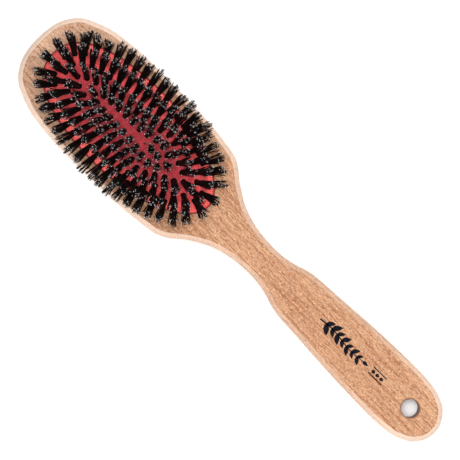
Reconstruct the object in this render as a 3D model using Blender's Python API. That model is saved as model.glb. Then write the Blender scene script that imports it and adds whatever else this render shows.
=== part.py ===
"""Vanity hairbrush with an air cushion: a one-piece beech body, a domed rubber pad snapped into a groove
round its pocket, and tufts of boar bristle drawn through the pad on lengths of wire.

The brush lies on its back, bristles up: +Z up, +Y from the handle towards the head, +X across. The origin
is under the middle of the whole brush, on the surface that it lies on.
"""

from collections import namedtuple
from math import cos, exp, pi, radians, sin

import bmesh
import bpy
from mathutils import Matrix, Vector

MM = 0.001

# Wooden body
LENGTH = 225 * MM
THICKNESS = 13 * MM
FACE_EDGE = 2.2 * MM  # radius of the edge round the bristle face
BACK_EDGE = 5.0 * MM  # radius of the edge round the back
NECK_LIFT = 1.6 * MM  # how far the back is hollowed under the neck
NECK_AT = 126 * MM  # from the head end
NECK_REACH = 34 * MM
NECK_CUTS = 5  # on each side of the neck's middle
HOLE_RADIUS = 3.75 * MM
HOLE_AT = 211 * MM  # from the head end
# Half widths of the body along its length: millimetres from the head end, millimetres from the axis
HALF_OUTLINE = (
    (4, 15.2),  # the round end of the head
    (14, 21.6),
    (28, 24.5),
    (50, 25.0),  # the head's widest
    (84, 23.1),
    (91, 21.4),  # shoulder
    (100, 14.9),
    (110, 9.6),
    (127, 7.0),  # the neck's narrowest
    (136, 8.0),
    (144, 10.3),  # heel of the handle
    (158, 11.5),
    (196, 13.3),  # the handle's widest
    (209, 13.0),
    (216, 11.5),
    (222, 7.6),
)
OUTLINE_STEPS = 4  # chords between two points of the outline

# Pad opening in the face, half of one superellipse towards the head and half of another towards the handle
PAD_HALF_LENGTH = 44.0 * MM
PAD_HALF_WIDTH = 19.9 * MM
PAD_AT = 52.5 * MM  # its middle, from the head end
PAD_POWER_HEAD = 2.35
PAD_POWER_HANDLE = 1.9
PAD_SIDES = 44
POCKET_DEPTH = 6.5 * MM
GROOVE_DEPTH = 1.3 * MM
GROOVE_TOP = 1.2 * MM  # below the face
GROOVE_HEIGHT = 2.2 * MM
GAP = 0.3 * MM  # left between neighbouring pieces

# Rubber pad
DOME_HEIGHT = 7.5 * MM  # above the face
RUBBER = 1.4 * MM
DOME_POWER = 2.0
DOME_INSETS = (0.3, 2.6, 5.5, 9.0, 13.0, 17.0, 19.2)  # mm from the opening's edge
VENT_RADIUS = 0.5 * MM  # lets air in and out of the pocket
VENT_AT = -8.0 * MM  # along the axis from the middle of the pad

# Bristle tufts
TUFT_LENGTH = 14 * MM  # out of the pad
TUFT_FOOT = 1.6 * MM  # below the pad, where the bristles fold over the wire
FOOT_RADIUS = 1.05 * MM
TIP_RADIUS = 1.85 * MM
TUFT_SIDES = 6
TUFT_HOLE_RADIUS = 1.46 * MM
WIRE_RADIUS = 0.35 * MM
FOLD_AT = 0.6  # where the wire runs, as a share of a tuft's foot
# A ring of tufts is a superellipse. Lengths are in millimetres and leans in degrees. shift is towards the
# head, first is the first tuft's place in steps from the handle end, and swell widens the handle end.
Ring = namedtuple("Ring", "length width power shift tufts first runs side_lean end_lean swell")
RINGS = (
    Ring(20, 2.5, 3.0, 0, 22, 0.0, 6, 8, 8, 2),
    Ring(30, 6, 1.8, 0, 32, 0.0, 8, 15, 18, 4),
    Ring(35, 10, 2.5, 0, 39, 0.0, 10, 28, 26, 3.5),
    Ring(39, 16.5, 2.1, 0.5, 44, 0.5, 11, 35, 30, 0.5),
)
CENTRE_TUFTS = (-11.5, -15.5)  # mm along the axis from the middle of the pad
SWELL_AT = -13.5  # mm, the same way
SWELL_REACH = 7.0
SWELL_FADE = 3.0  # how soon the swell grows from nothing at a ring's two ends
RING_SAMPLES = 1440
LEVEL_STEPS = 24  # halvings of the search for the pad's level at a tuft
TANGENT_SAMPLES = 20  # to each side of a tuft, for the direction of its ring there
PAD_SHARE = 0.65  # how far a tuft's lean turns from its ring's normal to the pad's

CUTTER_HEIGHT = 80 * MM

HEAD_END = LENGTH / 2
PAD_Y = HEAD_END - PAD_AT


def clear_scene():
    for obj in list(bpy.data.objects):
        bpy.data.objects.remove(obj)


def new_collection(name):
    collection = bpy.data.collections.new(name)
    bpy.context.scene.collection.children.link(collection)
    return collection


def material(name, colour, roughness, metallic=0.0):
    made = bpy.data.materials.new(name)
    made.use_nodes = True
    shader = made.node_tree.nodes["Principled BSDF"]
    shader.inputs["Base Color"].default_value = (*colour, 1)
    shader.inputs["Roughness"].default_value = roughness
    shader.inputs["Metallic"].default_value = metallic
    return made


def mesh_object(name, mesh, collection, finish=None):
    obj = bpy.data.objects.new(name, mesh)
    collection.objects.link(obj)
    if finish:
        mesh.materials.clear()
        mesh.materials.append(finish)
    return obj


def hide(obj):
    obj.hide_render = True
    obj.display_type = "WIRE"


def mesh_from_curve(data, collection, weld=MM / 100):
    """A mesh of a curve, with its loose caps welded on. The curve is removed."""
    curve = bpy.data.objects.new(data.name, data)
    collection.objects.link(curve)
    graph = bpy.context.evaluated_depsgraph_get()
    mesh = bpy.data.meshes.new_from_object(curve.evaluated_get(graph))
    bpy.data.objects.remove(curve)
    bm = bmesh.new()
    bm.from_mesh(mesh)
    bmesh.ops.remove_doubles(bm, verts=bm.verts, dist=weld)
    bmesh.ops.recalc_face_normals(bm, faces=bm.faces)
    bm.to_mesh(mesh)
    bm.free()
    return mesh


def boolean(obj, other, operation):
    modifier = obj.modifiers.new(other.name, "BOOLEAN")
    modifier.object = other
    modifier.operation = operation
    modifier.solver = "EXACT"


def smooth(obj, degrees=35):
    obj.data.shade_smooth()
    obj.data.set_sharp_from_angle(angle=radians(degrees))


# Wooden body


def outline_curve():
    """The body's outline as a closed flat curve, drawn out to the body's thickness."""
    right = [(x * MM, HEAD_END - y * MM) for y, x in HALF_OUTLINE]
    left = [(-x, y) for x, y in reversed(right)]
    points = [(0, HEAD_END), *right, (0, -HEAD_END), *left]
    data = bpy.data.curves.new("body_outline", "CURVE")
    data.dimensions = "2D"
    data.fill_mode = "BOTH"
    data.extrude = THICKNESS / 2
    data.resolution_u = OUTLINE_STEPS
    spline = data.splines.new("BEZIER")
    spline.bezier_points.add(len(points) - 1)
    for knot, (x, y) in zip(spline.bezier_points, points):
        knot.co = (x, y, 0)
        knot.handle_left_type = "AUTO"
        knot.handle_right_type = "AUTO"
    spline.use_cyclic_u = True
    return data


def neck_lift(y):
    """How high the back stands above the table at y."""
    away = abs(y - (HEAD_END - NECK_AT)) / NECK_REACH
    return NECK_LIFT * (1 + cos(pi * away)) / 2 if away < 1 else 0.0


def cut_across_neck(bm):
    """Cuts the slab across wherever the back will be lifted, after joining each face's triangles."""
    bmesh.ops.dissolve_limit(bm, angle_limit=radians(1), verts=bm.verts, edges=bm.edges)
    middle = HEAD_END - NECK_AT
    for step in range(-NECK_CUTS, NECK_CUTS + 1):
        bmesh.ops.bisect_plane(
            bm,
            geom=[*bm.verts, *bm.edges, *bm.faces],
            plane_co=(0, middle + step * NECK_REACH / NECK_CUTS, 0),
            plane_no=(0, 1, 0),
            dist=MM / 100,
        )


def round_edges(bm, above, radius, segments):
    """Rounds the edge loop round the face, or round the back."""
    loop = [
        edge
        for edge in bm.edges
        if edge.calc_face_angle(0) > radians(60)
        and all((vert.co.z > 0) == above for vert in edge.verts)
    ]
    bmesh.ops.bevel(
        bm,
        geom=loop,
        offset=radius,
        offset_type="OFFSET",
        segments=segments,
        profile=0.5,
        affect="EDGES",
        clamp_overlap=False,
    )


def wooden_body(parts, cutters, finish):
    mesh = mesh_from_curve(outline_curve(), parts)
    bm = bmesh.new()
    bm.from_mesh(mesh)
    cut_across_neck(bm)
    round_edges(bm, True, FACE_EDGE, 3)
    round_edges(bm, False, BACK_EDGE, 4)
    for vert in bm.verts:
        vert.co.z += THICKNESS / 2
        vert.co.z += neck_lift(vert.co.y) * (1 - vert.co.z / THICKNESS)
    bm.to_mesh(mesh)
    bm.free()
    body = mesh_object("wooden_body", mesh, parts, finish)
    boolean(body, pocket_cutter(cutters), "DIFFERENCE")
    hole = round_cutter("hanging_hole_cutter", cutters, HOLE_RADIUS, HEAD_END - HOLE_AT)
    boolean(body, hole, "DIFFERENCE")
    smooth(body)
    return body


# Pad and its pocket


def pad_ring(inset, z):
    """A ring of points parallel to the opening's edge, that far inside it."""
    points = []
    for step in range(PAD_SIDES):
        turn = 2 * pi * step / PAD_SIDES
        power = PAD_POWER_HEAD if sin(turn) > 0 else PAD_POWER_HANDLE
        across = abs(cos(turn)) ** (2 / power) * (1 if cos(turn) > 0 else -1)
        along = abs(sin(turn)) ** (2 / power) * (1 if sin(turn) > 0 else -1)
        x = (PAD_HALF_WIDTH - inset) * across
        y = PAD_Y + (PAD_HALF_LENGTH - inset) * along
        points.append((x, y, z))
    return points


def ring_loft(name, rings):
    """A closed mesh through rings of points, capped on the first and on the last."""
    bm = bmesh.new()
    rows = [[bm.verts.new(point) for point in ring] for ring in rings]
    for row, below in zip(rows, rows[1:]):
        for i in range(len(row)):
            j = (i + 1) % len(row)
            bm.faces.new((row[i], below[i], below[j], row[j]))
    bm.faces.new(rows[0])
    bm.faces.new(list(reversed(rows[-1])))
    bmesh.ops.recalc_face_normals(bm, faces=bm.faces)
    mesh = bpy.data.meshes.new(name)
    bm.to_mesh(mesh)
    bm.free()
    return mesh


def pocket_cutter(cutters):
    groove_top = THICKNESS - GROOVE_TOP
    groove_bottom = groove_top - GROOVE_HEIGHT
    profile = (
        (0, THICKNESS + MM),
        (0, groove_top),
        (-GROOVE_DEPTH, groove_top),
        (-GROOVE_DEPTH, groove_bottom),
        (0, groove_bottom),
        (0, THICKNESS - POCKET_DEPTH),
    )
    mesh = ring_loft("pocket_cutter", [pad_ring(*point) for point in profile])
    cutter = mesh_object("pocket_cutter", mesh, cutters)
    hide(cutter)
    return cutter


def round_cutter(name, cutters, radius, y):
    """An upright cylinder on the axis of the brush, taller than the brush."""
    bm = bmesh.new()
    bmesh.ops.create_cone(
        bm,
        cap_ends=True,
        segments=24,
        radius1=radius,
        radius2=radius,
        depth=CUTTER_HEIGHT,
    )
    mesh = bpy.data.meshes.new(name)
    bm.to_mesh(mesh)
    bm.free()
    cutter = mesh_object(name, mesh, cutters)
    cutter.location = (0, y, 0)
    hide(cutter)
    return cutter


def dome(inset):
    """Height of the pad's top above the face, at a distance from the opening's edge."""
    return DOME_HEIGHT * (1 - (1 - inset / PAD_HALF_WIDTH) ** DOME_POWER)


def cushion_pad(parts, cutters, finish, tufts):
    bead_top = THICKNESS - GROOVE_TOP - GAP
    bead_bottom = bead_top - GROOVE_HEIGHT + 2 * GAP
    bead_out = GAP - GROOVE_DEPTH
    neck = GAP
    inside = neck + RUBBER
    insets = [inset * MM for inset in DOME_INSETS]
    outer = [(inset, THICKNESS + dome(inset)) for inset in reversed(insets)]
    rim = [(neck, bead_top), (bead_out, bead_top), (bead_out, bead_bottom), (inside, bead_bottom)]
    inner = [(max(inset, inside), THICKNESS + dome(inset) - RUBBER) for inset in insets]
    profile = outer + rim + inner
    mesh = ring_loft("cushion_pad", [pad_ring(*point) for point in profile])
    pad = mesh_object("cushion_pad", mesh, parts, finish)
    holes = tuft_solids("tuft_holes", cutters, tufts, TUFT_HOLE_RADIUS, TUFT_HOLE_RADIUS)
    boolean(pad, holes, "DIFFERENCE")
    boolean(pad, round_cutter("vent_cutter", cutters, VENT_RADIUS, PAD_Y + VENT_AT), "DIFFERENCE")
    smooth(pad)
    return pad


# Tufts


def ring_outline(ring):
    """Closely spaced points round one ring, from the handle end, in millimetres from the pad's middle."""
    points = []
    for step in range(RING_SAMPLES + 1):
        turn = 2 * pi * step / RING_SAMPLES
        x = ring.width * abs(sin(turn)) ** (2 / ring.power)
        towards_handle = abs(cos(turn)) ** (2 / ring.power) * (1 if cos(turn) > 0 else -1)
        y = ring.shift - ring.length * towards_handle
        fade = min(1.0, abs(sin(turn)) * SWELL_FADE)
        x += fade * ring.swell * exp(-(((y - SWELL_AT) / SWELL_REACH) ** 2))
        points.append(Vector((x if step <= RING_SAMPLES / 2 else -x, y, 0)))
    return points


def spaced(points, count, first):
    """Points at equal distances along a closed line, with the line's direction at each."""
    lengths = [0.0]
    for a, b in zip(points, points[1:]):
        lengths.append(lengths[-1] + (b - a).length)
    found = []
    at = 0
    for number in range(count):
        target = (number + first) * lengths[-1] / count
        while lengths[at + 1] < target:
            at += 1
        share = (target - lengths[at]) / (lengths[at + 1] - lengths[at])
        point = points[at].lerp(points[at + 1], share)
        ahead = points[(at + TANGENT_SAMPLES) % RING_SAMPLES]
        behind = points[(at - TANGENT_SAMPLES) % RING_SAMPLES]
        found.append((point, (ahead - behind).normalized()))
    return found


def pad_normal(x, y):
    """Direction away from the pad's middle, square to an oval of the pad's shape through x, y."""
    across = x * MM / PAD_HALF_WIDTH**2
    along = y * MM / PAD_HALF_LENGTH**2
    return Vector((across, along, 0)).normalized()


def pad_inset(x, y):
    """How far inside the opening's edge the level of the pad through x, y runs."""
    power = PAD_POWER_HEAD if y > 0 else PAD_POWER_HANDLE
    low, high = 0.0, PAD_HALF_WIDTH
    for _ in range(LEVEL_STEPS):
        inset = (low + high) / 2
        across = abs(x) * MM / (PAD_HALF_WIDTH - inset)
        along = abs(y) * MM / (PAD_HALF_LENGTH - inset)
        if across**power + along**power < 1:
            low = inset
        else:
            high = inset
    return low


def tuft(x, y, direction, lean):
    """Where a tuft leaves the pad, and the way that it points."""
    base = Vector((x * MM, PAD_Y + y * MM, THICKNESS + dome(pad_inset(x, y))))
    tilt = radians(lean)
    return base, Vector((direction.x * sin(tilt), direction.y * sin(tilt), cos(tilt)))


def ring_tufts(ring):
    made = []
    for point, along in spaced(ring_outline(ring), ring.tufts, ring.first):
        normal = Vector((along.y, -along.x, 0))
        direction = normal.lerp(pad_normal(point.x, point.y), PAD_SHARE).normalized()
        lean = ring.side_lean + (ring.end_lean - ring.side_lean) * direction.y**2
        made.append(tuft(point.x, point.y, direction, lean))
    return made


def centre_tufts():
    return [tuft(0, y, Vector((0, 1, 0)), 0) for y in CENTRE_TUFTS]


def runs_of(tufts, count):
    """Splits a ring of tufts into runs of nearly equal length, one after the other."""
    ends = [round(len(tufts) * number / count) for number in range(count + 1)]
    return [tufts[a:b] for a, b in zip(ends, ends[1:])]


def tuft_solids(name, cutters, tufts, foot_radius, tip_radius):
    """One helper mesh that holds a tapered bundle for each tuft."""
    below = RUBBER + TUFT_FOOT
    length = TUFT_LENGTH + below
    bm = bmesh.new()
    for base, axis in tufts:
        turn = axis.to_track_quat("Z", "Y").to_matrix().to_4x4()
        place = Matrix.Translation(base + axis * (length / 2 - below)) @ turn
        bmesh.ops.create_cone(
            bm,
            cap_ends=True,
            segments=TUFT_SIDES,
            radius1=foot_radius,
            radius2=tip_radius,
            depth=length,
            matrix=place,
        )
    mesh = bpy.data.meshes.new(name)
    bm.to_mesh(mesh)
    bm.free()
    helper = mesh_object(name, mesh, cutters)
    hide(helper)
    return helper


def draw_wire(name, parts, tufts, finish):
    """The wire behind the pad that a run of tufts is folded over."""
    feet = [base - axis * (RUBBER + TUFT_FOOT * FOLD_AT) for base, axis in tufts]
    data = bpy.data.curves.new(name, "CURVE")
    data.dimensions = "3D"
    data.bevel_depth = WIRE_RADIUS
    data.bevel_resolution = 0
    data.use_fill_caps = True
    spline = data.splines.new("POLY")
    spline.points.add(len(feet) - 1)
    for point, foot in zip(spline.points, feet):
        point.co = (*foot, 1)
    return mesh_object(name, mesh_from_curve(data, parts), parts, finish)


def tuft_run(name, parts, cutters, tufts, finish):
    run = draw_wire(name, parts, tufts, finish)
    bundles = tuft_solids(f"{name}_bundles", cutters, tufts, FOOT_RADIUS, TIP_RADIUS)
    boolean(run, bundles, "UNION")
    smooth(run)
    return run


def main():
    clear_scene()
    parts = new_collection("hairbrush")
    cutters = new_collection("hairbrush_cutters")
    beech = material("beech", (0.66, 0.40, 0.22), 0.5)
    rubber = material("rubber", (0.50, 0.05, 0.06), 0.7)
    bristle = material("bristle", (0.015, 0.014, 0.014), 0.4)
    wooden_body(parts, cutters, beech)
    rings = [ring_tufts(ring) for ring in RINGS]
    centre = centre_tufts()
    cushion_pad(parts, cutters, rubber, [*centre, *sum(rings, [])])
    tuft_run("tufts_centre", parts, cutters, centre, bristle)
    for number, (ring, tufts) in enumerate(zip(RINGS, rings), start=1):
        for place, run in enumerate(runs_of(tufts, ring.runs), start=1):
            tuft_run(f"tufts_ring{number}_run{place:02d}", parts, cutters, run, bristle)


main()
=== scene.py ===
"""Looks of the vanity hairbrush: steamed beech, a cloth-faced red rubber pad, and tufts of boar bristle.

Everything is in metres in the frame's axes: +Z up out of the bristle face, +Y towards the head, +X across.
"""

from collections import namedtuple
from math import cos, exp, pi, radians, sin

import bmesh
import bpy
import numpy as np
from mathutils import Matrix, Vector


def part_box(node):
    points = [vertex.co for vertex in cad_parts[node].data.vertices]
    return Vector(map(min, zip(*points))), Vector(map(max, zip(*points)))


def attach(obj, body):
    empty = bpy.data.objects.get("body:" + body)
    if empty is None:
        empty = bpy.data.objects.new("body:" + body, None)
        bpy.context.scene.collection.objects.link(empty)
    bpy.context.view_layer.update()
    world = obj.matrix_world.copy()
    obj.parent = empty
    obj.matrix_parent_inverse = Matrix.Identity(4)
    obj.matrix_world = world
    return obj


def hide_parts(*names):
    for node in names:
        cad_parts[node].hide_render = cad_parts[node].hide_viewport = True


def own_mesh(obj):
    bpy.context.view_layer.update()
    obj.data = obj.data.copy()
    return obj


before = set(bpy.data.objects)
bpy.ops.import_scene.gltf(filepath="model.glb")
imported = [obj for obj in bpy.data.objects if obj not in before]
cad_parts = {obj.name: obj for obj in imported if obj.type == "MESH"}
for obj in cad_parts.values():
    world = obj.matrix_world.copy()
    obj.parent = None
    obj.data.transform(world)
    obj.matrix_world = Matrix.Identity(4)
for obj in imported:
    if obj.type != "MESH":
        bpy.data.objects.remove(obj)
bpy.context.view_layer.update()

MM = 0.001

# The frame's own measures
BODY_LOW, BODY_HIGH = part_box("wooden_body")
THICKNESS = BODY_HIGH.z - BODY_LOW.z
HEAD_END = BODY_HIGH.y
FACE = BODY_HIGH.z

# Wooden body
FACE_EDGE = 2.2 * MM
FACE_EDGE_STEPS = 7
FACE_EDGE_PROFILE = 0.36  # 0.5 is a round edge, and less is flatter, towards a chamfer
EDGE_START = 0.07 * MM  # how far below the face the pale edge, sanding and painted highlight, begins to show
GRAIN_WANDER = 0.6 * MM
GRAIN_BUMP = 0.08 * MM
BACK_EDGE = 5.0 * MM
BACK_EDGE_STEPS = 10
BACK_EDGE_PROFILE = 0.5
NECK_LIFT = 1.6 * MM
NECK_AT = 126 * MM
NECK_REACH = 34 * MM
NECK_CUTS = 14
HOLE_RADIUS = 3.75 * MM
HOLE_AT = 211 * MM
HOLE_CHAMFER = 0.35 * MM
BURN_WIDTH = 0.9 * MM  # of the browned wood round the hole
BODY_SHARP = radians(38)  # edges sharper than this stay crisp
OUTLINE_STEPS = 18
# Half widths of the body along its length: millimetres from the head end, millimetres from the axis
HALF_OUTLINE = (
    (4, 15.2),  # the round end of the head
    (14, 21.6),
    (28, 24.5),
    (50, 25.0),  # the head's widest
    (84, 23.1),
    (91, 21.4),  # shoulder
    (100, 14.9),
    (110, 9.6),
    (127, 7.0),  # the neck's narrowest
    (136, 8.0),
    (144, 10.3),  # heel of the handle
    (158, 11.5),
    (196, 13.3),  # the handle's widest
    (209, 13.0),
    (216, 11.5),
    (222, 7.6),
)

# Pad
PAD_HALF_LENGTH = 44.0 * MM
PAD_HALF_WIDTH = 19.9 * MM
PAD_Y = HEAD_END - 52.5 * MM
PAD_POWER_HEAD = 2.35  # the pad's outline is fuller at the head end than at the handle end
PAD_POWER_HANDLE = 1.9
PAD_SIDES = 232
PAD_LEVELS = 46
PAD_EDGE_INSET = 0.32 * MM
PAD_CREST = 0.25 * MM  # half the width of the flat strip along the top of the dome
SHOULDER_DEPTH = 0.3 * MM
LIP_HEIGHT = 0.16 * MM  # of the soft lip round each tuft
LIP_RADIUS = 1.45 * MM
LIP_WIDTH = 0.5 * MM
LIP_REACH = 3 * MM
HOLE_BELOW = 4 * MM  # how far the cutters of the tuft holes reach into and out of the pad
HOLE_ABOVE = 2 * MM
POCKET_DEPTH = 6.5 * MM
POCKET_CHAMFER = 0.5 * MM
GROOVE_DEPTH = 1.3 * MM
GROOVE_TOP = 1.2 * MM
GROOVE_HEIGHT = 2.2 * MM
GAP = 0.3 * MM
DOME_HEIGHT = 7.5 * MM
RUBBER = 1.4 * MM
VENT_RADIUS = 0.5 * MM
VENT_AT = -8.0 * MM
VENT_CUT = (12 * MM, 3 * MM)  # the cutter's top and bottom, above the face
VENT_SIDES = 20
PAD_SHARP = radians(50)
WEAVE_PITCH = 1.0 * MM
WEAVE_BUMP = 0.12 * MM

# Tufts: the same rings as the frame's
TUFT_LENGTH = 14 * MM
TUFT_FOOT = 1.6 * MM
TUFT_HOLE_RADIUS = 1.4 * MM
TUFT_HOLE_SIDES = 14
WIRE_RADIUS = 0.3 * MM
WIRE_END = 1.2 * MM  # how far the wire sticks out past the last tuft of a run
FOLD_AT = 0.6  # where the wire runs, as a share of a tuft's foot
# Lengths in millimetres and leans in degrees. shift is towards the head, first is the first tuft's place in
# steps from the handle end, and swell widens the handle end.
Ring = namedtuple("Ring", "length width power shift tufts first runs side_lean end_lean swell")
RINGS = (
    Ring(20, 2.5, 3.0, 0, 22, 0.0, 6, 8, 8, 2),
    Ring(30, 6, 1.8, 0, 32, 0.0, 8, 15, 18, 4),
    Ring(35, 10, 2.5, 0, 39, 0.0, 10, 28, 26, 3.5),
    Ring(39, 16.5, 2.1, 0.5, 44, 0.5, 11, 35, 30, 0.5),
)
CENTRE_TUFTS = (-11.5, -15.5)
SWELL_AT = -13.5
SWELL_REACH = 7.0
SWELL_FADE = 3.0
RING_SAMPLES = 1440
TANGENT_SAMPLES = 20
LEVEL_STEPS = 24
PAD_SHARE = 0.65

HAIRS = 28  # each is folded double, so a tuft shows twice as many ends
HAIR_RADIUS = 0.13 * MM
NECK_RADIUS = 1.0 * MM
TIP_SPREAD = 2.15 * MM
LOCKS = 5  # loose locks that a tuft parts into
SPLIT_AND_GLINTING_TIPS = 0.36  # share of the tips that are pale: split ends, with a painted glint
SPLIT_AND_GLINT_PALENESS = (0.3, 1.0)  # of the pale tips, from least to most
TIP_WIDTH = 0.6  # a dark tip's width as a share of the hair's, and how much a pale one, split and with a painted glint, adds
SPLIT_WIDTH = 0.8
HAIR_WIDTHS = (0.85, 1.15)  # of the hairs, as shares of the usual one
HAIR_SHARES = (0.0, 0.16, 0.5, 0.86, 0.97, 1.0)  # where a hair has its points, along its length
LOCK_RING = 0.72  # how far out the locks stand, as a share of the tuft's end
LOCK_JITTER = 0.12
CORE_LOCK = 0.15  # the first lock is drawn in to this share, and fills the middle
LOCK_STRETCH = 1.12
LOCK_PULL = (0.2, 0.65)  # how far a hair's end moves to its lock, from least to most
HAIR_JITTER = 0.05  # spreads in which hairs differ, as standard deviations
LEG_LEAN = 0.035
TIP_JITTER = 0.12 * MM
LEG_JITTER = 0.30 * MM
LENGTH_JITTER = 0.45 * MM
BOW = 0.14 * MM
RIM_SHORTER = 0.9 * MM  # how much shorter the hairs at the tuft's rim are
OPENING_POWER = 1.15
FOOT_DEPTH = 0.9  # where the bundle is under the pad, in thicknesses of rubber
FOOT_SHARE = 0.92  # its width there, of its width at the neck
FOLD_SPREAD = 0.8 * MM
FOLD_STACK = 0.35 * MM

# Print on the handle: places along the axis, and sizes
INK_THICKNESS = 0.03 * MM
INK_LIFT = 0.02 * MM
SPRIG_START = -47.5 * MM
SPRIG_END = -71.5 * MM
SPRIG_WAVE = 0.55 * MM
SPRIG_STEPS = 24
STEM_WIDTHS = (0.62 * MM, 0.32 * MM)
LEAF_STEPS = range(3, 23, 3)
LEAF_SHRINK = 0.35
UPPER_LEAF = (radians(46), 5.2 * MM, 2.5 * MM)  # angle from the stem, length and width
LOWER_LEAF = (radians(40), 4.2 * MM, 2.0 * MM)
END_LEAF = (3.0 * MM, 1.5 * MM)
LOZENGE = (2.0 * MM, 1.5 * MM)
LOZENGE_PITCH = 2.2 * MM
BAR_START = -76.2 * MM
BAR_END = -83.6 * MM
BAR_SIDE = 1.6 * MM
BAR_WIDTH = 0.45 * MM

# Camera
CAMERA_DISTANCE = 1.5
CAMERA_ASIDE = (-0.030, 0.0)
CAMERA_TURN = radians(-45.1)
AIM = (-0.3 * MM, 3.4 * MM)
VIEW_WIDTH = 0.1848

# Lights: name, place, size and power. All point at one spot on the brush.
LIGHTS = (
    ("overhead", (-0.02, 0.05, 1.8), 0.70, 26.5),
    ("key", (0.62, -0.10, 0.64), 0.25, 3.8),
    ("low", (-0.75, -0.25, 0.28), 0.30, 4.2),
)
LIT_SPOT = (0, 0.02, 0)
WORLD_STRENGTH = 0.42
FLOOR_HALF = 3.0
FLOOR_GAP = 0.05 * MM

GOLDEN = pi * (3 - 5**0.5)  # the angle between neighbours that spreads points evenly over a disc

rng = np.random.default_rng(20)

# Colours of the beech
WOOD_LIGHT = (0.440, 0.238, 0.127)
WOOD_DARK = (0.385, 0.186, 0.089)
# paler wood over the head: painted light
WOOD_HEAD_LIGHT = (0.462, 0.282, 0.185)
WOOD_LINE = (0.70, 0.54, 0.42)
WOOD_FLECK = (0.22, 0.070, 0.025)
WOOD_SPECK = (0.66, 0.43, 0.28)
# pale edge colour: partly sanding, partly a painted highlight
WOOD_EDGE = (0.68, 0.53, 0.43)
WOOD_BURNT = (0.16, 0.045, 0.016)


# Materials


class Nodes:
    """A short way to write a node material."""

    def __init__(self, name):
        self.material = bpy.data.materials.new(name)
        self.material.use_nodes = True
        self.tree = self.material.node_tree
        self.shader = self.tree.nodes["Principled BSDF"]

    def add(self, kind, **values):
        node = self.tree.nodes.new(kind)
        for name, value in values.items():
            setattr(node, name, value)
        return node

    def link(self, out, into):
        self.tree.links.new(out, into)

    def coordinates(self, scale, rotation=(0, 0, 0)):
        source = self.add("ShaderNodeTexCoord")
        mapping = self.add("ShaderNodeMapping")
        mapping.inputs["Scale"].default_value = scale
        mapping.inputs["Rotation"].default_value = rotation
        self.link(source.outputs["Object"], mapping.inputs["Vector"])
        return mapping.outputs["Vector"]

    def position(self):
        """The three coordinates of a point in metres, as a node's outputs X, Y and Z."""
        source = self.add("ShaderNodeTexCoord")
        parts = self.add("ShaderNodeSeparateXYZ")
        self.link(source.outputs["Object"], parts.inputs[0])
        return parts.outputs

    def scaled(self, vector, scale):
        node = self.add("ShaderNodeVectorMath", operation="MULTIPLY")
        self.link(vector, node.inputs[0])
        node.inputs[1].default_value = scale
        return node.outputs["Vector"]

    def noise(self, vector, scale=1.0, detail=4.0, roughness=0.5, distortion=0.0):
        node = self.add("ShaderNodeTexNoise")
        self.link(vector, node.inputs["Vector"])
        node.inputs["Scale"].default_value = scale
        node.inputs["Detail"].default_value = detail
        node.inputs["Roughness"].default_value = roughness
        node.inputs["Distortion"].default_value = distortion
        return node.outputs["Fac"]

    def ramp(self, factor, *stops):
        node = self.add("ShaderNodeValToRGB")
        self.link(factor, node.inputs["Fac"])
        elements = node.color_ramp.elements
        while len(elements) < len(stops):
            elements.new(0.5)
        for element, (place, colour) in zip(elements, stops):
            element.position = place
            shade = colour if isinstance(colour, tuple) else (colour, colour, colour)
            element.color = (*shade, 1)
        return node.outputs["Color"]

    def mix(self, factor, a, b, blend="MIX"):
        node = self.add("ShaderNodeMix", data_type="RGBA", blend_type=blend)
        for value, socket in ((factor, node.inputs[0]), (a, node.inputs[6]), (b, node.inputs[7])):
            if isinstance(value, bpy.types.NodeSocket):
                self.link(value, socket)
            elif isinstance(value, tuple):
                socket.default_value = (*value, 1)
            else:
                socket.default_value = value
        return node.outputs[2]

    def maths(self, operation, *values):
        node = self.add("ShaderNodeMath", operation=operation)
        for value, socket in zip(values, node.inputs):
            if isinstance(value, bpy.types.NodeSocket):
                self.link(value, socket)
            else:
                socket.default_value = value
        return node.outputs[0]

    def attribute(self, name):
        return self.add("ShaderNodeAttribute", attribute_name=name).outputs["Fac"]

    def bump(self, height, strength, distance):
        node = self.add("ShaderNodeBump")
        node.inputs["Strength"].default_value = strength
        node.inputs["Distance"].default_value = distance
        self.link(height, node.inputs["Height"])
        self.link(node.outputs["Normal"], self.shader.inputs["Normal"])

    def finish(self, colour, roughness, **settings):
        for value, name in ((colour, "Base Color"), (roughness, "Roughness")):
            if isinstance(value, bpy.types.NodeSocket):
                self.link(value, self.shader.inputs[name])
            else:
                self.shader.inputs[name].default_value = value
        for name, value in settings.items():
            self.shader.inputs[name.replace("_", " ")].default_value = value
        return self.material


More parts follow.
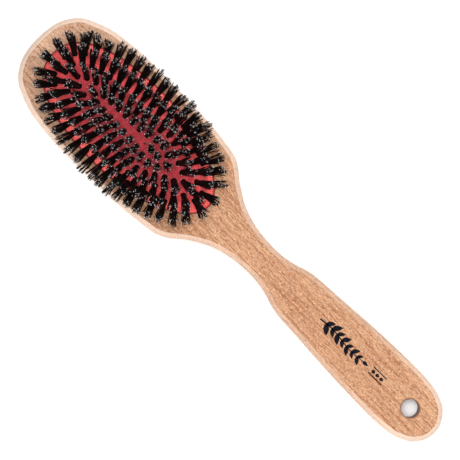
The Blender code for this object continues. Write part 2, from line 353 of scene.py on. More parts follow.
def beech():
    """Steamed beech: fine straight grain, short dark ray flecks along it, pale edges, partly sanding and
    partly a painted highlight, and painted light paling the head.
    """
    n = Nodes("beech")
    place = n.coordinates((1, 1, 1))
    bend = n.noise(n.scaled(place, (90, 45, 90)), detail=2)
    shift = n.add("ShaderNodeVectorMath", operation="MULTIPLY_ADD")
    n.link(bend, shift.inputs[0])
    shift.inputs[1].default_value = (GRAIN_WANDER, 0, 0)
    n.link(place, shift.inputs[2])
    straight = shift.outputs["Vector"]
    tone = n.noise(n.scaled(straight, (75, 9, 60)), detail=3)
    lines = n.noise(n.scaled(straight, (1500, 45, 900)), detail=4, roughness=0.6)
    grain = n.noise(n.scaled(straight, (2500, 330, 1500)), detail=2, roughness=0.5)
    fleck = n.noise(n.scaled(straight, (2300, 560, 1800)), detail=1, roughness=0.5)
    speck = n.noise(n.scaled(straight, (3300, 900, 2600)), detail=1, roughness=0.5)
    base = n.mix(n.ramp(tone, (0.34, 0.0), (0.66, 1.0)), WOOD_DARK, WOOD_LIGHT)
    # painted light: the head's wood is made paler
    base = n.mix(head_light_share(n), base, WOOD_HEAD_LIGHT)
    lined = n.mix(1.0, base, WOOD_LINE, "MULTIPLY")
    colour = n.mix(n.ramp(lines, (0.40, 1.0), (0.49, 0.0)), base, lined)
    colour = n.mix(1.0, colour, n.ramp(grain, (0.36, 0.84), (0.5, 1.0), (0.64, 1.15)), "MULTIPLY")
    dashes = n.ramp(fleck, (0.56, 0.0), (0.64, 0.75))
    colour = n.mix(dashes, colour, WOOD_FLECK)
    colour = n.mix(n.ramp(speck, (0.34, 0.55), (0.42, 0.0)), colour, WOOD_SPECK)
    colour = n.mix(border_share(n), colour, WOOD_FLECK)
    # the edge is painted pale: partly sanding, partly a painted highlight on the rounding
    sanding_and_highlight = n.maths("MULTIPLY", edge_share(n), n.ramp(grain, (0.3, 0.7), (0.7, 0.95)))
    colour = n.mix(sanding_and_highlight, colour, WOOD_EDGE)
    colour = n.mix(n.maths("MULTIPLY", hole_share(n), 0.8), colour, WOOD_BURNT)
    rough = n.maths("MULTIPLY_ADD", grain, 0.2, 0.45)
    height = n.maths("SUBTRACT", n.maths("MULTIPLY", grain, 0.6), dashes)
    n.bump(height, 0.35, GRAIN_BUMP)
    return n.finish(colour, rough, Specular_IOR_Level=0.25)


def length_share(n, place):
    """0 at the end of the handle and 1 at the end of the head."""
    return n.maths("MULTIPLY_ADD", place["Y"], 1 / (2 * HEAD_END), 0.5)


def head_light_share(n):
    """0 on the handle, rising to 0.8 over the head, where the wood is painted paler as painted light."""
    place = n.position()
    return n.ramp(length_share(n, place), (0.6, 0.0), (0.9, 0.8))


def border_share(n):
    """Up to 0.45 along the thin line where the face meets its pale rounded edge, 0 elsewhere."""
    place = n.position()
    depth = n.maths("DIVIDE", n.maths("SUBTRACT", FACE, place["Z"]), EDGE_START * 5)
    return n.ramp(depth, (0.02, 0.0), (0.12, 0.45), (0.3, 0.0))


def edge_share(n):
    """Up to 1 on the pale edge round the face, 0 on the face, and fading out down the sides.

    The edge is painted pale, partly for sanding and partly as a painted highlight on the rounding. It is
    palest round the head, on the shoulders and at the end of the handle.
    """
    place = n.position()
    depth = n.maths("DIVIDE", n.maths("SUBTRACT", FACE, place["Z"]), THICKNESS)
    start = EDGE_START / THICKNESS
    down = n.ramp(depth, (start, 0.0), (start * 3, 1.0), (0.14, 0.85), (0.24, 0.22), (1.0, 0.1))
    along = length_share(n, place)
    amount = n.ramp(
        along, (0.0, 0.9), (0.08, 0.7), (0.17, 0.34), (0.40, 0.36), (0.52, 0.55), (0.64, 0.8), (1.0, 0.95)
    )
    return n.maths("MULTIPLY", down, amount)


def hole_share(n):
    """1 in the hanging hole and at its rim, where the drill has browned the wood, 0 beyond."""
    source = n.add("ShaderNodeTexCoord")
    flat = n.add("ShaderNodeVectorMath", operation="MULTIPLY_ADD")
    n.link(source.outputs["Object"], flat.inputs[0])
    flat.inputs[1].default_value = (1, 1, 0)
    flat.inputs[2].default_value = (0, HOLE_AT - HEAD_END, 0)
    length = n.add("ShaderNodeVectorMath", operation="LENGTH")
    n.link(flat.outputs["Vector"], length.inputs[0])
    away = n.maths("SUBTRACT", length.outputs["Value"], HOLE_RADIUS)
    share = n.maths("MULTIPLY", away, 1 / BURN_WIDTH)
    return n.ramp(share, (0.15, 1.0), (0.75, 0.0))


def cloth_rubber():
    """Red rubber with a fine plain-weave cloth bonded to it. Painted light brightens it low on the dome, and
    painted shade deepens it towards its top between the tufts, in the hollows of the weave and at its rim.
    """
    n = Nodes("pad_rubber")
    place = n.position()
    warp = n.maths("SINE", n.maths("MULTIPLY", place["X"], 2 * pi / WEAVE_PITCH))
    weft = n.maths("SINE", n.maths("MULTIPLY", place["Y"], 2 * pi / WEAVE_PITCH))
    weave = n.maths("MULTIPLY_ADD", n.maths("MULTIPLY", warp, weft), 0.5, 0.5)
    fuzz = n.noise(n.coordinates((2600, 2600, 2600)), detail=2)
    slub = n.noise(n.coordinates((900, 160, 300)), detail=3)
    tone = n.noise(n.coordinates((60, 60, 60)), detail=2)
    bare = n.maths("DIVIDE", n.maths("SUBTRACT", place["Z"], FACE), DOME_HEIGHT)
    level = n.maths("ADD", bare, n.maths("MULTIPLY_ADD", tone, 0.3, -0.15))
    # painted light and shade: bright lit red low on the dome, deepening to painted shade between the tufts
    # at its top
    base = n.ramp(
        level,
        (0.2, (0.90, 0.124, 0.104)),
        (0.62, (0.80, 0.070, 0.080)),
        (0.98, (0.43, 0.026, 0.042)),
    )
    # painted shade in the weave: the low cells between the threads are darker
    colour = n.mix(n.ramp(weave, (0.1, 0.75), (0.7, 0.0)), base, (0.30, 0.014, 0.024))
    colour = n.mix(n.ramp(fuzz, (0.52, 0.0), (0.78, 0.42)), colour, (0.95, 0.34, 0.28))
    colour = n.mix(n.ramp(slub, (0.35, 0.4), (0.52, 0.0)), colour, (0.34, 0.018, 0.03))
    # painted shadow: a dark red line round the pad's rim, where it meets the wood
    colour = n.mix(n.ramp(bare, (0.05, 0.75), (0.085, 0.0)), colour, (0.28, 0.010, 0.022))
    height = n.maths("ADD", weave, n.maths("MULTIPLY", fuzz, 0.6))
    n.bump(height, 0.6, WEAVE_BUMP)
    rough = n.ramp(fuzz, (0.2, 0.62), (0.8, 0.85))
    return n.finish(colour, rough, Sheen_Weight=0.2, Sheen_Roughness=0.4, Specular_IOR_Level=0.2)


def bristle():
    """Black boar bristle, browner along some hairs, with pale tips: split ends, and a painted glint of light
    on them.
    """
    n = Nodes("bristle")
    streak = n.noise(n.coordinates((1800, 1800, 260)), detail=2)
    body = n.ramp(streak, (0.35, (0.0030, 0.0030, 0.0036)), (0.75, (0.011, 0.009, 0.008)))
    # pale to white tips: split ends and a painted glint
    tips = n.ramp(streak, (0.3, (0.55, 0.53, 0.52)), (0.7, (1.0, 0.98, 0.96)))
    colour = n.mix(n.attribute("tip"), body, tips)
    rough = n.ramp(streak, (0.3, 0.42), (0.7, 0.6))
    return n.finish(colour, rough, Specular_IOR_Level=0.25)


def drawn_wire():
    """Bright drawn steel wire with fine marks along it."""
    n = Nodes("draw_wire")
    marks = n.noise(n.coordinates((900, 900, 5200)), detail=3)
    colour = n.ramp(marks, (0.3, (0.42, 0.41, 0.40)), (0.7, (0.66, 0.65, 0.63)))
    rough = n.ramp(marks, (0.3, 0.22), (0.7, 0.42))
    return n.finish(colour, rough, Metallic=1.0)


def ink():
    """Dark printing ink, a little thin where the grain stands up."""
    n = Nodes("ink")
    grain = n.noise(n.coordinates((2100, 330, 1500)), detail=2)
    colour = n.ramp(grain, (0.55, (0.004, 0.005, 0.009)), (0.75, (0.03, 0.02, 0.016)))
    return n.finish(colour, 0.8, Specular_IOR_Level=0.05)


def pale_floor():
    n = Nodes("floor")
    soft = n.noise(n.coordinates((4, 4, 4)), detail=2)
    colour = n.ramp(soft, (0.3, (0.95, 0.95, 0.95)), (0.7, (0.97, 0.97, 0.97)))
    return n.finish(colour, 0.9, Specular_IOR_Level=0.0)


# Meshes


def link_mesh(name, mesh, material):
    obj = bpy.data.objects.new(name, mesh)
    bpy.context.scene.collection.objects.link(obj)
    mesh.materials.clear()
    mesh.materials.append(material)
    return obj


def applied(obj):
    """Replaces an object's mesh by the one that its modifiers give."""
    graph = bpy.context.evaluated_depsgraph_get()
    mesh = bpy.data.meshes.new_from_object(obj.evaluated_get(graph))
    obj.modifiers.clear()
    old = obj.data
    obj.data = mesh
    bpy.data.meshes.remove(old)


def cut(obj, cutter, solver="EXACT"):
    """Takes cutter out of obj, and removes cutter."""
    modifier = obj.modifiers.new("cut", "BOOLEAN")
    modifier.object = cutter
    modifier.operation = "DIFFERENCE"
    modifier.solver = solver
    applied(obj)
    bpy.data.objects.remove(cutter)


def neck_lift(y):
    away = abs(y - (HEAD_END - NECK_AT)) / NECK_REACH
    return NECK_LIFT * (1 + cos(pi * away)) / 2 if away < 1 else 0.0


def body_slab():
    """The body's outline drawn out to its thickness, with welded caps."""
    right = [(x * MM, HEAD_END - y * MM) for y, x in HALF_OUTLINE]
    left = [(-x, y) for x, y in reversed(right)]
    points = [(0, HEAD_END), *right, (0, -HEAD_END), *left]
    data = bpy.data.curves.new("body_outline", "CURVE")
    data.dimensions = "2D"
    data.fill_mode = "BOTH"
    data.extrude = THICKNESS / 2
    data.resolution_u = OUTLINE_STEPS
    spline = data.splines.new("BEZIER")
    spline.bezier_points.add(len(points) - 1)
    for knot, (x, y) in zip(spline.bezier_points, points):
        knot.co = (x, y, 0)
        knot.handle_left_type = "AUTO"
        knot.handle_right_type = "AUTO"
    spline.use_cyclic_u = True
    curve = bpy.data.objects.new("body_outline", data)
    bpy.context.scene.collection.objects.link(curve)
    graph = bpy.context.evaluated_depsgraph_get()
    mesh = bpy.data.meshes.new_from_object(curve.evaluated_get(graph))
    bpy.data.objects.remove(curve)
    bm = bmesh.new()
    bm.from_mesh(mesh)
    bpy.data.meshes.remove(mesh)
    bmesh.ops.remove_doubles(bm, verts=bm.verts, dist=MM / 100)
    bmesh.ops.recalc_face_normals(bm, faces=bm.faces)
    bmesh.ops.dissolve_limit(bm, angle_limit=radians(0.3), verts=bm.verts, edges=bm.edges)
    return bm


def round_edges(bm, above, radius, segments, profile):
    loop = [
        edge
        for edge in bm.edges
        if edge.calc_face_angle(0) > radians(60)
        and all((vert.co.z > 0) == above for vert in edge.verts)
    ]
    bmesh.ops.bevel(
        bm,
        geom=loop,
        offset=radius,
        offset_type="OFFSET",
        segments=segments,
        profile=profile,
        affect="EDGES",
        clamp_overlap=False,
    )


def pad_ring(inset, z, sides):
    points = []
    for step in range(sides):
        turn = 2 * pi * step / sides
        power = PAD_POWER_HEAD if sin(turn) > 0 else PAD_POWER_HANDLE
        across = abs(cos(turn)) ** (2 / power) * (1 if cos(turn) > 0 else -1)
        along = abs(sin(turn)) ** (2 / power) * (1 if sin(turn) > 0 else -1)
        x = (PAD_HALF_WIDTH - inset) * across
        y = PAD_Y + (PAD_HALF_LENGTH - inset) * along
        points.append((x, y, z))
    return points


def ring_loft(name, rings):
    """A closed mesh through rings of points. Its ends are closed by strips from side to side."""
    bm = bmesh.new()
    rows = [[bm.verts.new(point) for point in ring] for ring in rings]
    count = len(rows[0])
    for row, below in zip(rows, rows[1:]):
        for i in range(count):
            j = (i + 1) % count
            bm.faces.new((row[i], below[i], below[j], row[j]))
    for row in (rows[0], rows[-1]):
        for i in range(-count // 4, count // 4):
            a, b = row[i % count], row[(i + 1) % count]
            c, d = row[(count // 2 - i - 1) % count], row[(count // 2 - i) % count]
            corners = list(dict.fromkeys((a, b, c, d)))
            if len(corners) > 2:
                bm.faces.new(corners)
    bmesh.ops.recalc_face_normals(bm, faces=bm.faces)
    mesh = bpy.data.meshes.new(name)
    bm.to_mesh(mesh)
    bm.free()
    return mesh


def pocket_cutter():
    groove_top = FACE - GROOVE_TOP
    groove_bottom = groove_top - GROOVE_HEIGHT
    profile = (
        (-POCKET_CHAMFER - MM, FACE + MM),
        (-POCKET_CHAMFER, FACE),
        (-POCKET_CHAMFER * 0.3, FACE - POCKET_CHAMFER * 0.3),
        (0, FACE - POCKET_CHAMFER),
        (0, groove_top),
        (-GROOVE_DEPTH, groove_top),
        (-GROOVE_DEPTH, groove_bottom),
        (0, groove_bottom),
        (0, FACE - POCKET_DEPTH),
    )
    mesh = ring_loft("pocket_cutter", [pad_ring(*point, PAD_SIDES) for point in profile])
    return link_mesh("pocket_cutter", mesh, None)


def lathe_cutter(name, profile, y, sides=64):
    """A solid turned round an upright axis at y, from (radius, z) pairs."""
    bm = bmesh.new()
    rows = []
    for radius, z in profile:
        turns = [2 * pi * step / sides for step in range(sides)]
        rows.append([bm.verts.new((radius * cos(t), y + radius * sin(t), z)) for t in turns])
    for row, below in zip(rows, rows[1:]):
        for i in range(sides):
            j = (i + 1) % sides
            bm.faces.new((row[i], below[i], below[j], row[j]))
    bm.faces.new(rows[0])
    bm.faces.new(list(reversed(rows[-1])))
    bmesh.ops.recalc_face_normals(bm, faces=bm.faces)
    mesh = bpy.data.meshes.new(name)
    bm.to_mesh(mesh)
    bm.free()
    return link_mesh(name, mesh, None)


def make_body(material):
    bm = body_slab()
    middle = HEAD_END - NECK_AT
    for step in range(-NECK_CUTS, NECK_CUTS + 1):
        bmesh.ops.bisect_plane(
            bm,
            geom=[*bm.verts, *bm.edges, *bm.faces],
            plane_co=(0, middle + step * NECK_REACH / NECK_CUTS, 0),
            plane_no=(0, 1, 0),
            dist=MM / 100,
        )
    round_edges(bm, True, FACE_EDGE, FACE_EDGE_STEPS, FACE_EDGE_PROFILE)
    round_edges(bm, False, BACK_EDGE, BACK_EDGE_STEPS, BACK_EDGE_PROFILE)
    for vert in bm.verts:
        vert.co.z += THICKNESS / 2
        vert.co.z += neck_lift(vert.co.y) * (1 - vert.co.z / THICKNESS)
    mesh = bpy.data.meshes.new("beech_body")
    bm.to_mesh(mesh)
    bm.free()
    body = link_mesh("beech_body", mesh, material)
    cut(body, pocket_cutter())
    wide = HOLE_RADIUS + HOLE_CHAMFER
    hole = (
        (wide + MM, FACE + MM),
        (wide, FACE),
        (HOLE_RADIUS, FACE - HOLE_CHAMFER),
        (HOLE_RADIUS, HOLE_CHAMFER),
        (wide, 0),
        (wide + MM, -MM),
    )
    cut(body, lathe_cutter("hole_cutter", hole, HEAD_END - HOLE_AT))
    body.data.shade_smooth()
    body.data.set_sharp_from_angle(angle=BODY_SHARP)
    weighted = body.modifiers.new("weighted", "WEIGHTED_NORMAL")
    weighted.keep_sharp = True
    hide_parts("wooden_body")
    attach(body, "brush")


def dome(inset):
    return DOME_HEIGHT * (1 - (1 - inset / PAD_HALF_WIDTH) ** 2)


def tuft_bundles(tufts, radius, sides, below, above):
    """One mesh of cylinders, one along each tuft, for cutting the tuft holes."""
    bm = bmesh.new()
    for base, axis in tufts:
        turn = axis.to_track_quat("Z", "Y").to_matrix().to_4x4()
        place = Matrix.Translation(base + axis * (above - below) / 2) @ turn
        bmesh.ops.create_cone(
            bm,
            cap_ends=True,
            segments=sides,
            radius1=radius,
            radius2=radius,
            depth=above + below,
            matrix=place,
        )
    mesh = bpy.data.meshes.new("tuft_holes")
    bm.to_mesh(mesh)
    bm.free()
    return link_mesh("tuft_holes", mesh, None)


def pucker(mesh, tufts):
    """Raises a low soft lip in the pad's face round each tuft, where the hole is stretched."""
    count = len(mesh.vertices)
    places = np.empty(count * 3)
    mesh.vertices.foreach_get("co", places)
    places = places.reshape(-1, 3)
    for base, _ in tufts:
        away = np.linalg.norm(places - np.array(base), axis=1)
        near = away < LIP_REACH
        rise = LIP_HEIGHT * np.exp(-(((away[near] - LIP_RADIUS) / LIP_WIDTH) ** 2))
        places[near, 2] += rise
    mesh.vertices.foreach_set("co", places.ravel())


def make_pad(material, tufts):
    bead_top = FACE - GROOVE_TOP - GAP
    bead_bottom = bead_top - GROOVE_HEIGHT + 2 * GAP
    neck = PAD_EDGE_INSET
    inside = neck + RUBBER
    middle = PAD_HALF_WIDTH - PAD_CREST
    levels = [neck + (middle - neck) * step / PAD_LEVELS for step in range(PAD_LEVELS + 1)]
    outer = [(inset, FACE + dome(inset)) for inset in reversed(levels)]
    shoulder = [(neck, FACE - SHOULDER_DEPTH), (neck, bead_top)]
    bead = [(GAP - GROOVE_DEPTH, bead_top), (GAP - GROOVE_DEPTH, bead_bottom), (inside, bead_bottom)]
    inner = [(max(inset, inside), FACE + dome(inset) - RUBBER) for inset in levels[4::6]]
    profile = outer + shoulder + bead + inner
    mesh = ring_loft("rubber_pad", [pad_ring(*point, PAD_SIDES) for point in profile])
    pucker(mesh, tufts)
    pad = link_mesh("rubber_pad", mesh, material)
    cut(pad, tuft_bundles(tufts, TUFT_HOLE_RADIUS, TUFT_HOLE_SIDES, HOLE_BELOW, HOLE_ABOVE), "MANIFOLD")
    vent = [(VENT_RADIUS, FACE + height) for height in VENT_CUT]
    cut(pad, lathe_cutter("vent_cutter", vent, PAD_Y + VENT_AT, VENT_SIDES), "MANIFOLD")
    pad.data.shade_smooth()
    pad.data.set_sharp_from_angle(angle=PAD_SHARP)
    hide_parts("cushion_pad")
    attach(pad, "brush")
    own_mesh(pad)


# Tufts


def ring_outline(ring):
    """Closely spaced points round one ring, from the handle end, in millimetres from the pad's middle."""
    points = []
    for step in range(RING_SAMPLES + 1):
        turn = 2 * pi * step / RING_SAMPLES
        x = ring.width * abs(sin(turn)) ** (2 / ring.power)
        towards_handle = abs(cos(turn)) ** (2 / ring.power) * (1 if cos(turn) > 0 else -1)
        y = ring.shift - ring.length * towards_handle
        fade = min(1.0, abs(sin(turn)) * SWELL_FADE)
        x += fade * ring.swell * exp(-(((y - SWELL_AT) / SWELL_REACH) ** 2))
        points.append(Vector((x if step <= RING_SAMPLES / 2 else -x, y, 0)))
    return points


def spaced(points, count, first):
    lengths = [0.0]
    for a, b in zip(points, points[1:]):
        lengths.append(lengths[-1] + (b - a).length)
    found = []
    at = 0
    for number in range(count):
        target = (number + first) * lengths[-1] / count
        while lengths[at + 1] < target:
            at += 1
        share = (target - lengths[at]) / (lengths[at + 1] - lengths[at])
        point = points[at].lerp(points[at + 1], share)
        ahead = points[(at + TANGENT_SAMPLES) % RING_SAMPLES]
        behind = points[(at - TANGENT_SAMPLES) % RING_SAMPLES]
        found.append((point, (ahead - behind).normalized()))
    return found


def pad_normal(x, y):
    across = x * MM / PAD_HALF_WIDTH**2
    along = y * MM / PAD_HALF_LENGTH**2
    return Vector((across, along, 0)).normalized()


def pad_inset(x, y):
    """How far inside the opening's edge the level of the pad through x, y runs."""
    power = PAD_POWER_HEAD if y > 0 else PAD_POWER_HANDLE
    low, high = 0.0, PAD_HALF_WIDTH
    for _ in range(LEVEL_STEPS):
        inset = (low + high) / 2
        across = abs(x) * MM / (PAD_HALF_WIDTH - inset)
        along = abs(y) * MM / (PAD_HALF_LENGTH - inset)
        if across**power + along**power < 1:
            low = inset
        else:
            high = inset
    return low


def tuft(x, y, direction, lean):
    """Where a tuft leaves the pad, and the way that it points."""
    base = Vector((x * MM, PAD_Y + y * MM, FACE + dome(pad_inset(x, y))))
    tilt = radians(lean)
    return base, Vector((direction.x * sin(tilt), direction.y * sin(tilt), cos(tilt)))


def ring_tufts(ring):
    made = []
    for point, along in spaced(ring_outline(ring), ring.tufts, ring.first):
        normal = Vector((along.y, -along.x, 0))
        direction = normal.lerp(pad_normal(point.x, point.y), PAD_SHARE).normalized()
        lean = ring.side_lean + (ring.end_lean - ring.side_lean) * direction.y**2
        made.append(tuft(point.x, point.y, direction, lean))
    return made


def centre_tufts():
    return [tuft(0, y, Vector((0, 1, 0)), 0) for y in CENTRE_TUFTS]


def runs_of(tufts, count):
    ends = [round(len(tufts) * number / count) for number in range(count + 1)]
    return [tufts[a:b] for a, b in zip(ends, ends[1:])]


def unit(vectors):
    return vectors / np.linalg.norm(vectors, axis=-1, keepdims=True)


def lock_offsets(disc):
    """Draws each hair's end towards the middle of its lock, so that the tuft's end is ragged."""
    turns = rng.uniform(0, 2 * pi) + 2 * pi * np.arange(LOCKS) / LOCKS
    middles = LOCK_RING * np.stack([np.cos(turns), np.sin(turns)], axis=1)
    middles += rng.normal(0, LOCK_JITTER, (LOCKS, 2))
    middles[0] *= CORE_LOCK
    away = np.linalg.norm(disc[:, None] - middles[None], axis=2)
    nearest = middles[np.argmin(away, axis=1)]
    return (nearest * LOCK_STRETCH - disc) * rng.uniform(*LOCK_PULL, (len(disc), 1))


def hair_leg(base, axis, side, wire, disc):
    """Points along one half of each hair, from the pad outwards, and how pale each tip is."""
    count = len(disc)
    lean = axis + rng.normal(0, LEG_LEAN) * side + rng.normal(0, LEG_LEAN) * wire
    lean /= np.linalg.norm(lean)
    across = np.stack([side, wire])
    narrow = disc @ across * NECK_RADIUS
    wide = (disc + lock_offsets(disc)) @ across * TIP_SPREAD + rng.normal(0, TIP_JITTER, (count, 3))
    rim = np.sum(disc**2, axis=1)
    leg_length = TUFT_LENGTH + rng.normal(0, LEG_JITTER)
    length = leg_length + rng.normal(0, LENGTH_JITTER, count) - RIM_SHORTER * rim
    bow = rng.normal(0, BOW, (count, 3))
    points = [base - axis * RUBBER * FOOT_DEPTH + narrow * FOOT_SHARE]
    for share in HAIR_SHARES:
        opening = share**OPENING_POWER
        reach = axis * (1 - share) + lean * share
        place = base + reach * length[:, None] * share + narrow * (1 - opening) + wide * opening
        points.append(place + bow * sin(pi * share))
    pale = (rng.uniform(size=count) < SPLIT_AND_GLINTING_TIPS) * rng.uniform(*SPLIT_AND_GLINT_PALENESS, count)
    return np.stack(points, axis=1), pale


def tuft_hairs(base, axis, wire):
    """Paths, radii and paleness of one tuft's hairs, each from one tip, under the wire, to its other tip."""
    side = np.cross(axis, wire)
    side /= np.linalg.norm(side)
    wire = np.cross(side, axis)
    number = np.arange(HAIRS) + 0.5
    radius = np.sqrt(number / HAIRS)
    half = np.stack([np.abs(radius * np.cos(number * GOLDEN)), radius * np.sin(number * GOLDEN)], axis=1)
    legs = []
    for sign in (1, -1):
        disc = half * (sign, 1) + rng.normal(0, HAIR_JITTER, (HAIRS, 2))
        legs.append(hair_leg(base, axis, side, wire, disc))
    foot = base - axis * (RUBBER + TUFT_FOOT * FOLD_AT)
    under = foot + (half[:, 1:] * FOLD_SPREAD) * wire
    drop = WIRE_RADIUS + HAIR_RADIUS + FOLD_STACK * half[:, :1]
    fold = np.stack([under + side * drop, under - axis * drop, under - side * drop], axis=1)
    paths = np.concatenate([legs[0][0][:, ::-1], fold, legs[1][0]], axis=1)
    radii = np.ones(paths.shape[:2]) * HAIR_RADIUS * rng.uniform(*HAIR_WIDTHS, (HAIRS, 1))
    marks = np.zeros(paths.shape[:2])
    for end, (_, pale) in zip((0, -1), legs):
        marks[:, end] = pale
        radii[:, end] *= TIP_WIDTH + SPLIT_WIDTH * pale
    return paths, radii, marks, wire


def tube_mesh(name, paths, radii, marks, reference, sides=3):
    """Closed tubes along many paths of the same number of points."""
    count, length, _ = paths.shape
    ahead = np.concatenate([paths[:, 1:], paths[:, -1:]], axis=1)
    behind = np.concatenate([paths[:, :1], paths[:, :-1]], axis=1)
    tangent = unit(ahead - behind)
    across = reference[:, None, :] - tangent * np.sum(reference[:, None, :] * tangent, axis=2, keepdims=True)
    across = unit(across)
    other = np.cross(tangent, across)
    turns = 2 * pi * np.arange(sides) / sides
    ring = across[:, :, None] * np.cos(turns)[:, None] + other[:, :, None] * np.sin(turns)[:, None]
    verts = paths[:, :, None] + ring * radii[:, :, None, None]
    index = np.arange(count * length * sides).reshape(count, length, sides)
    following = np.roll(index, -1, axis=2)
    quads = np.stack([index[:, :-1], following[:, :-1], following[:, 1:], index[:, 1:]], axis=-1)
    starts = index[:, 0, ::-1]
    ends = index[:, -1]
    return build_mesh(
        name,
        verts.reshape(-1, 3),
        [quads.reshape(-1, 4), starts.reshape(-1, sides), ends.reshape(-1, sides)],
        np.repeat(marks.reshape(-1), sides),
    )


def build_mesh(name, verts, face_groups, marks):
    mesh = bpy.data.meshes.new(name)
    mesh.vertices.add(len(verts))
    mesh.vertices.foreach_set("co", verts.astype(np.float32).ravel())
    loops = np.concatenate([group.ravel() for group in face_groups])
    sizes = np.concatenate([np.full(len(group), group.shape[1]) for group in face_groups])
    mesh.loops.add(len(loops))
    mesh.loops.foreach_set("vertex_index", loops.astype(np.int32))
    mesh.polygons.add(len(sizes))
    mesh.polygons.foreach_set("loop_start", (np.cumsum(sizes) - sizes).astype(np.int32))
    mesh.update(calc_edges=True)
    mesh.validate()
    layer = mesh.attributes.new("tip", "FLOAT", "POINT")
    layer.data.foreach_set("value", marks.astype(np.float32))
    mesh.shade_smooth()
    return mesh


def wire_direction(number, tufts):
    """Along the run, from the tuft before to the tuft after."""
    before = tufts[max(number - 1, 0)][0]
    after = tufts[min(number + 1, len(tufts) - 1)][0]
    return np.array((after - before).normalized())


def make_bristles(node, body, tufts, material):
    parts = [
        tuft_hairs(np.array(base), np.array(axis), wire_direction(number, tufts))
        for number, (base, axis) in enumerate(tufts)
    ]
    paths = np.concatenate([part[0] for part in parts])
    radii = np.concatenate([part[1] for part in parts])
    marks = np.concatenate([part[2] for part in parts])
    reference = np.concatenate([np.repeat(part[3][None], HAIRS, axis=0) for part in parts])
    mesh = tube_mesh(f"bristles_{node}", paths, radii, marks, reference)
    piece = link_mesh(f"bristles_{node}", mesh, material)
    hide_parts(node)
    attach(piece, body)


def make_wire(node, body, tufts, material):
    """The wire that a run of tufts is folded over, as a smooth tube with cut ends."""
    feet = [base - axis * (RUBBER + TUFT_FOOT * FOLD_AT) for base, axis in tufts]
    way = (feet[1] - feet[0]).normalized()
    back = (feet[-1] - feet[-2]).normalized()
    route = [feet[0] - way * WIRE_END, *feet, feet[-1] + back * WIRE_END]
    data = bpy.data.curves.new(f"wire_{node}", "CURVE")
    data.dimensions = "3D"
    data.bevel_depth = WIRE_RADIUS
    data.bevel_resolution = 2
    data.resolution_u = 5
    data.use_fill_caps = True
    spline = data.splines.new("BEZIER")
    spline.bezier_points.add(len(route) - 1)
    for knot, point in zip(spline.bezier_points, route):
        knot.co = point
        knot.handle_left_type = "AUTO"
        knot.handle_right_type = "AUTO"
    data.materials.append(material)
    piece = bpy.data.objects.new(f"wire_{node}", data)
    bpy.context.scene.collection.objects.link(piece)
    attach(piece, body)


# Ornament


def leaf(bm, root, angle, length, width):
    """A pointed flat leaf as one face."""
    steps = 8
    edge = [(length * s / steps, width / 2 * sin(pi * (s / steps) ** 0.8)) for s in range(steps + 1)]
    outline = edge + [(x, -y) for x, y in reversed(edge[1:-1])]
    turned = []
    for x, y in outline:
        turned.append((root[0] + x * sin(angle) + y * cos(angle), root[1] + x * cos(angle) - y * sin(angle)))
    bm.faces.new([bm.verts.new((x, y, 0)) for x, y in turned])


def stroke(bm, points, widths):
    """A flat band along a line of points."""
    sides = []
    for number, (x, y) in enumerate(points):
        before = points[max(number - 1, 0)]
        after = points[min(number + 1, len(points) - 1)]
        way = Vector((after[0] - before[0], after[1] - before[1])).normalized()
        half = widths[number] / 2
        sides.append(
            (
                bm.verts.new((x - way.y * half, y + way.x * half, 0)),
                bm.verts.new((x + way.y * half, y - way.x * half, 0)),
            )
        )
    for (a, b), (c, d) in zip(sides, sides[1:]):
        bm.faces.new((a, c, d, b))


def make_print(name, bm, material):
    """Gives flat print its thickness of ink and lays it on the handle's face."""
    bmesh.ops.recalc_face_normals(bm, faces=bm.faces)
    mesh = bpy.data.meshes.new(name)
    bm.to_mesh(mesh)
    bm.free()
    piece = link_mesh(name, mesh, material)
    solid = piece.modifiers.new("ink", "SOLIDIFY")
    solid.thickness = INK_THICKNESS
    solid.offset = 0
    applied(piece)
    piece.data.transform(Matrix.Translation((0, 0, FACE + INK_LIFT)))
    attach(piece, "brush")


def make_sprig(material):
    """A leafy sprig along the handle."""
    bm = bmesh.new()
    stem = []
    widths = []
    for step in range(SPRIG_STEPS + 1):
        share = step / SPRIG_STEPS
        stem.append((SPRIG_WAVE * sin(2 * pi * share), SPRIG_START + (SPRIG_END - SPRIG_START) * share))
        widths.append(STEM_WIDTHS[0] + (STEM_WIDTHS[1] - STEM_WIDTHS[0]) * share)
    stroke(bm, stem, widths)
    for number, step in enumerate(LEAF_STEPS):
        side = 1 if number % 2 else -1
        size = 1 - LEAF_SHRINK * step / SPRIG_STEPS
        for way, (angle, length, width) in ((-side, UPPER_LEAF), (side, LOWER_LEAF)):
            leaf(bm, stem[step], pi + way * angle, length * size, width * size)
    leaf(bm, stem[-1], pi, *END_LEAF)
    make_print("sprig_print", bm, material)


def make_lozenges(material):
    """Three lozenges in a row between two bars, beyond the sprig."""
    bm = bmesh.new()
    for x in (-BAR_SIDE, BAR_SIDE):
        stroke(bm, [(x, BAR_START), (x, BAR_END)], [BAR_WIDTH, BAR_WIDTH])
    middle = (BAR_START + BAR_END) / 2
    for offset in (-LOZENGE_PITCH, 0, LOZENGE_PITCH):
        leaf(bm, (0, middle + offset + LOZENGE[0] / 2), pi, *LOZENGE)
    make_print("lozenge_print", bm, material)


# Setting


def make_floor():
    mesh = bpy.data.meshes.new("floor")
    bm = bmesh.new()
    bmesh.ops.create_grid(bm, x_segments=2, y_segments=2, size=FLOOR_HALF)
    bmesh.ops.translate(bm, verts=bm.verts, vec=(0, 0, BODY_LOW.z - FLOOR_GAP))
    bm.to_mesh(mesh)
    bm.free()
    floor = link_mesh("floor", mesh, pale_floor())


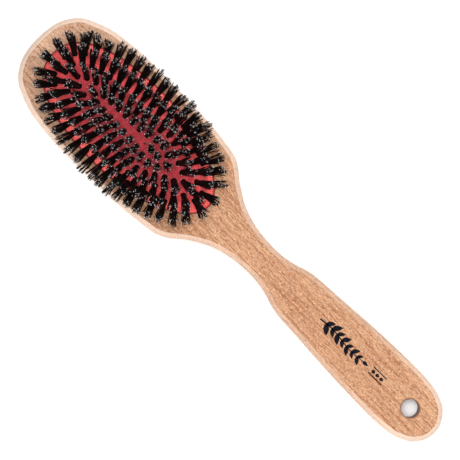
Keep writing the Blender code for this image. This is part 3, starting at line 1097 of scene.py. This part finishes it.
def area_light(name, place, size, power):
    data = bpy.data.lights.new(name, "AREA")
    data.shape = "DISK"
    data.size = size
    data.energy = power
    lamp = bpy.data.objects.new(name, data)
    bpy.context.scene.collection.objects.link(lamp)
    lamp.location = place
    lamp.rotation_euler = (Vector(LIT_SPOT) - Vector(place)).to_track_quat("-Z", "Y").to_euler()


def make_light():
    world = bpy.data.worlds.new("studio")
    bpy.context.scene.world = world
    world.use_nodes = True
    background = world.node_tree.nodes["Background"]
    background.inputs["Color"].default_value = (1.0, 1.0, 1.0, 1)
    background.inputs["Strength"].default_value = WORLD_STRENGTH
    for name, place, size, power in LIGHTS:
        area_light(name, place, size, power)


def make_camera():
    """Above the brush and a little to its left, turned so that the head points up and to the left."""
    data = bpy.data.cameras.new("camera")
    data.sensor_width = 36
    data.lens = data.sensor_width * CAMERA_DISTANCE / VIEW_WIDTH
    camera = bpy.data.objects.new("camera", data)
    bpy.context.scene.collection.objects.link(camera)
    aim = Vector((*AIM, FACE))
    camera.location = aim + Vector((*CAMERA_ASIDE, CAMERA_DISTANCE))
    back = (camera.location - aim).normalized()
    right = Vector((cos(CAMERA_TURN), sin(CAMERA_TURN), 0))
    up = back.cross(right).normalized()
    camera.rotation_euler = Matrix((up.cross(back), up, back)).transposed().to_euler()
    bpy.context.scene.camera = camera


def main():
    make_camera()
    make_light()
    make_floor()
    hair = bristle()
    steel = drawn_wire()
    make_body(beech())
    rings = [ring_tufts(ring) for ring in RINGS]
    centre = centre_tufts()
    make_pad(cloth_rubber(), [*centre, *sum(rings, [])])
    runs = [("tufts_centre", "ring_1", centre)]
    for number, (ring, tufts) in enumerate(zip(RINGS, rings), start=1):
        for place, run in enumerate(runs_of(tufts, ring.runs), start=1):
            runs.append((f"tufts_ring{number}_run{place:02d}", f"ring_{number}", run))
    for node, body, tufts in runs:
        make_bristles(node, body, tufts, hair)
        make_wire(node, body, tufts, steel)
    print_ink = ink()
    make_sprig(print_ink)
    make_lozenges(print_ink)
    bpy.context.scene.view_settings.view_transform = "Standard"
    bpy.context.view_layer.update()


main()
